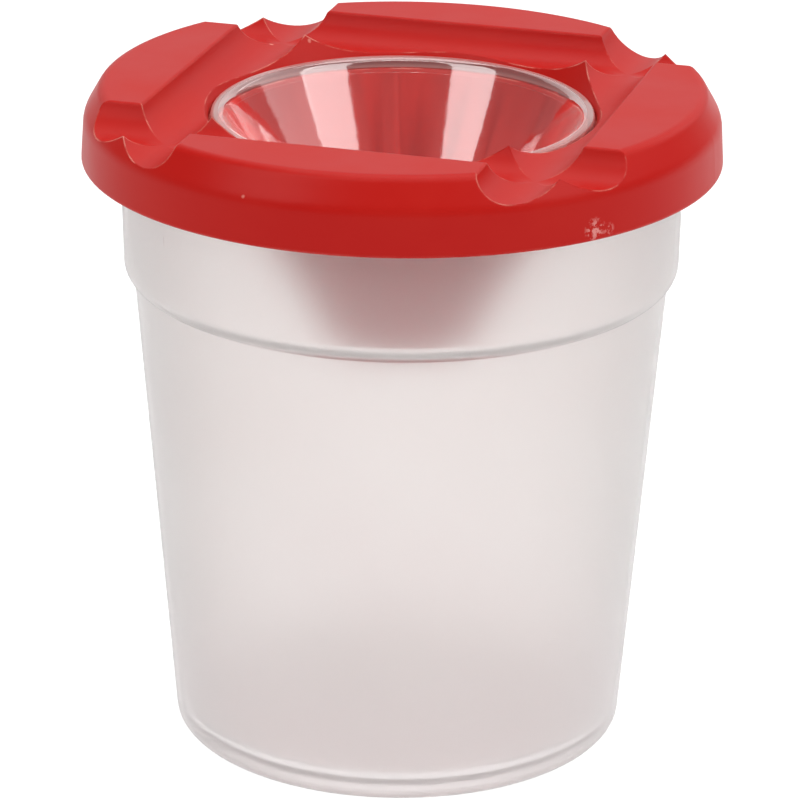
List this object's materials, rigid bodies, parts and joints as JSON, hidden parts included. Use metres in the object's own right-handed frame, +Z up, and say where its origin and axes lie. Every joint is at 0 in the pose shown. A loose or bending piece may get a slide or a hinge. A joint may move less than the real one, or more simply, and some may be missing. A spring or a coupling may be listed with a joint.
{
  "type": "brush washer with lid",
  "caption": "Frosted stepped pot with a red push-on lid: crossing round-bottomed brush rests around a clear-lined anti-spill funnel.",
  "frame": {"origin": "centre of the pot's base, on the surface it stands on", "axes": "+Z up along the pot's axis; the brush grooves run along X and along Y"},
  "size_m": [0.09, 0.09, 0.0957],
  "materials": {
    "frosted_pot": "frosted translucent polypropylene, milky and satin, light seen softly through the wall",
    "red_lid": "semi-matt moulded red plastic, fine grain, lightly scuffed along edges",
    "clear_liner": "glossy clear plastic, milky where the rim is thick"
  },
  "bodies": {
    "pot": {"pot": "frosted_pot"},
    "lid": {"lid": "red_lid"},
    "funnel_liner": {"funnel_liner": "clear_liner"}
  },
  "joints": [
    {"name": "lid_lift", "type": "slide", "parent": "pot", "child": "lid", "axis": [0, 0, 1], "range_m": [0, 0.06]},
    {"name": "liner_lift", "type": "slide", "parent": "lid", "child": "funnel_liner", "axis": [0, 0, 1], "range_m": [0, 0.045]}
  ]
}
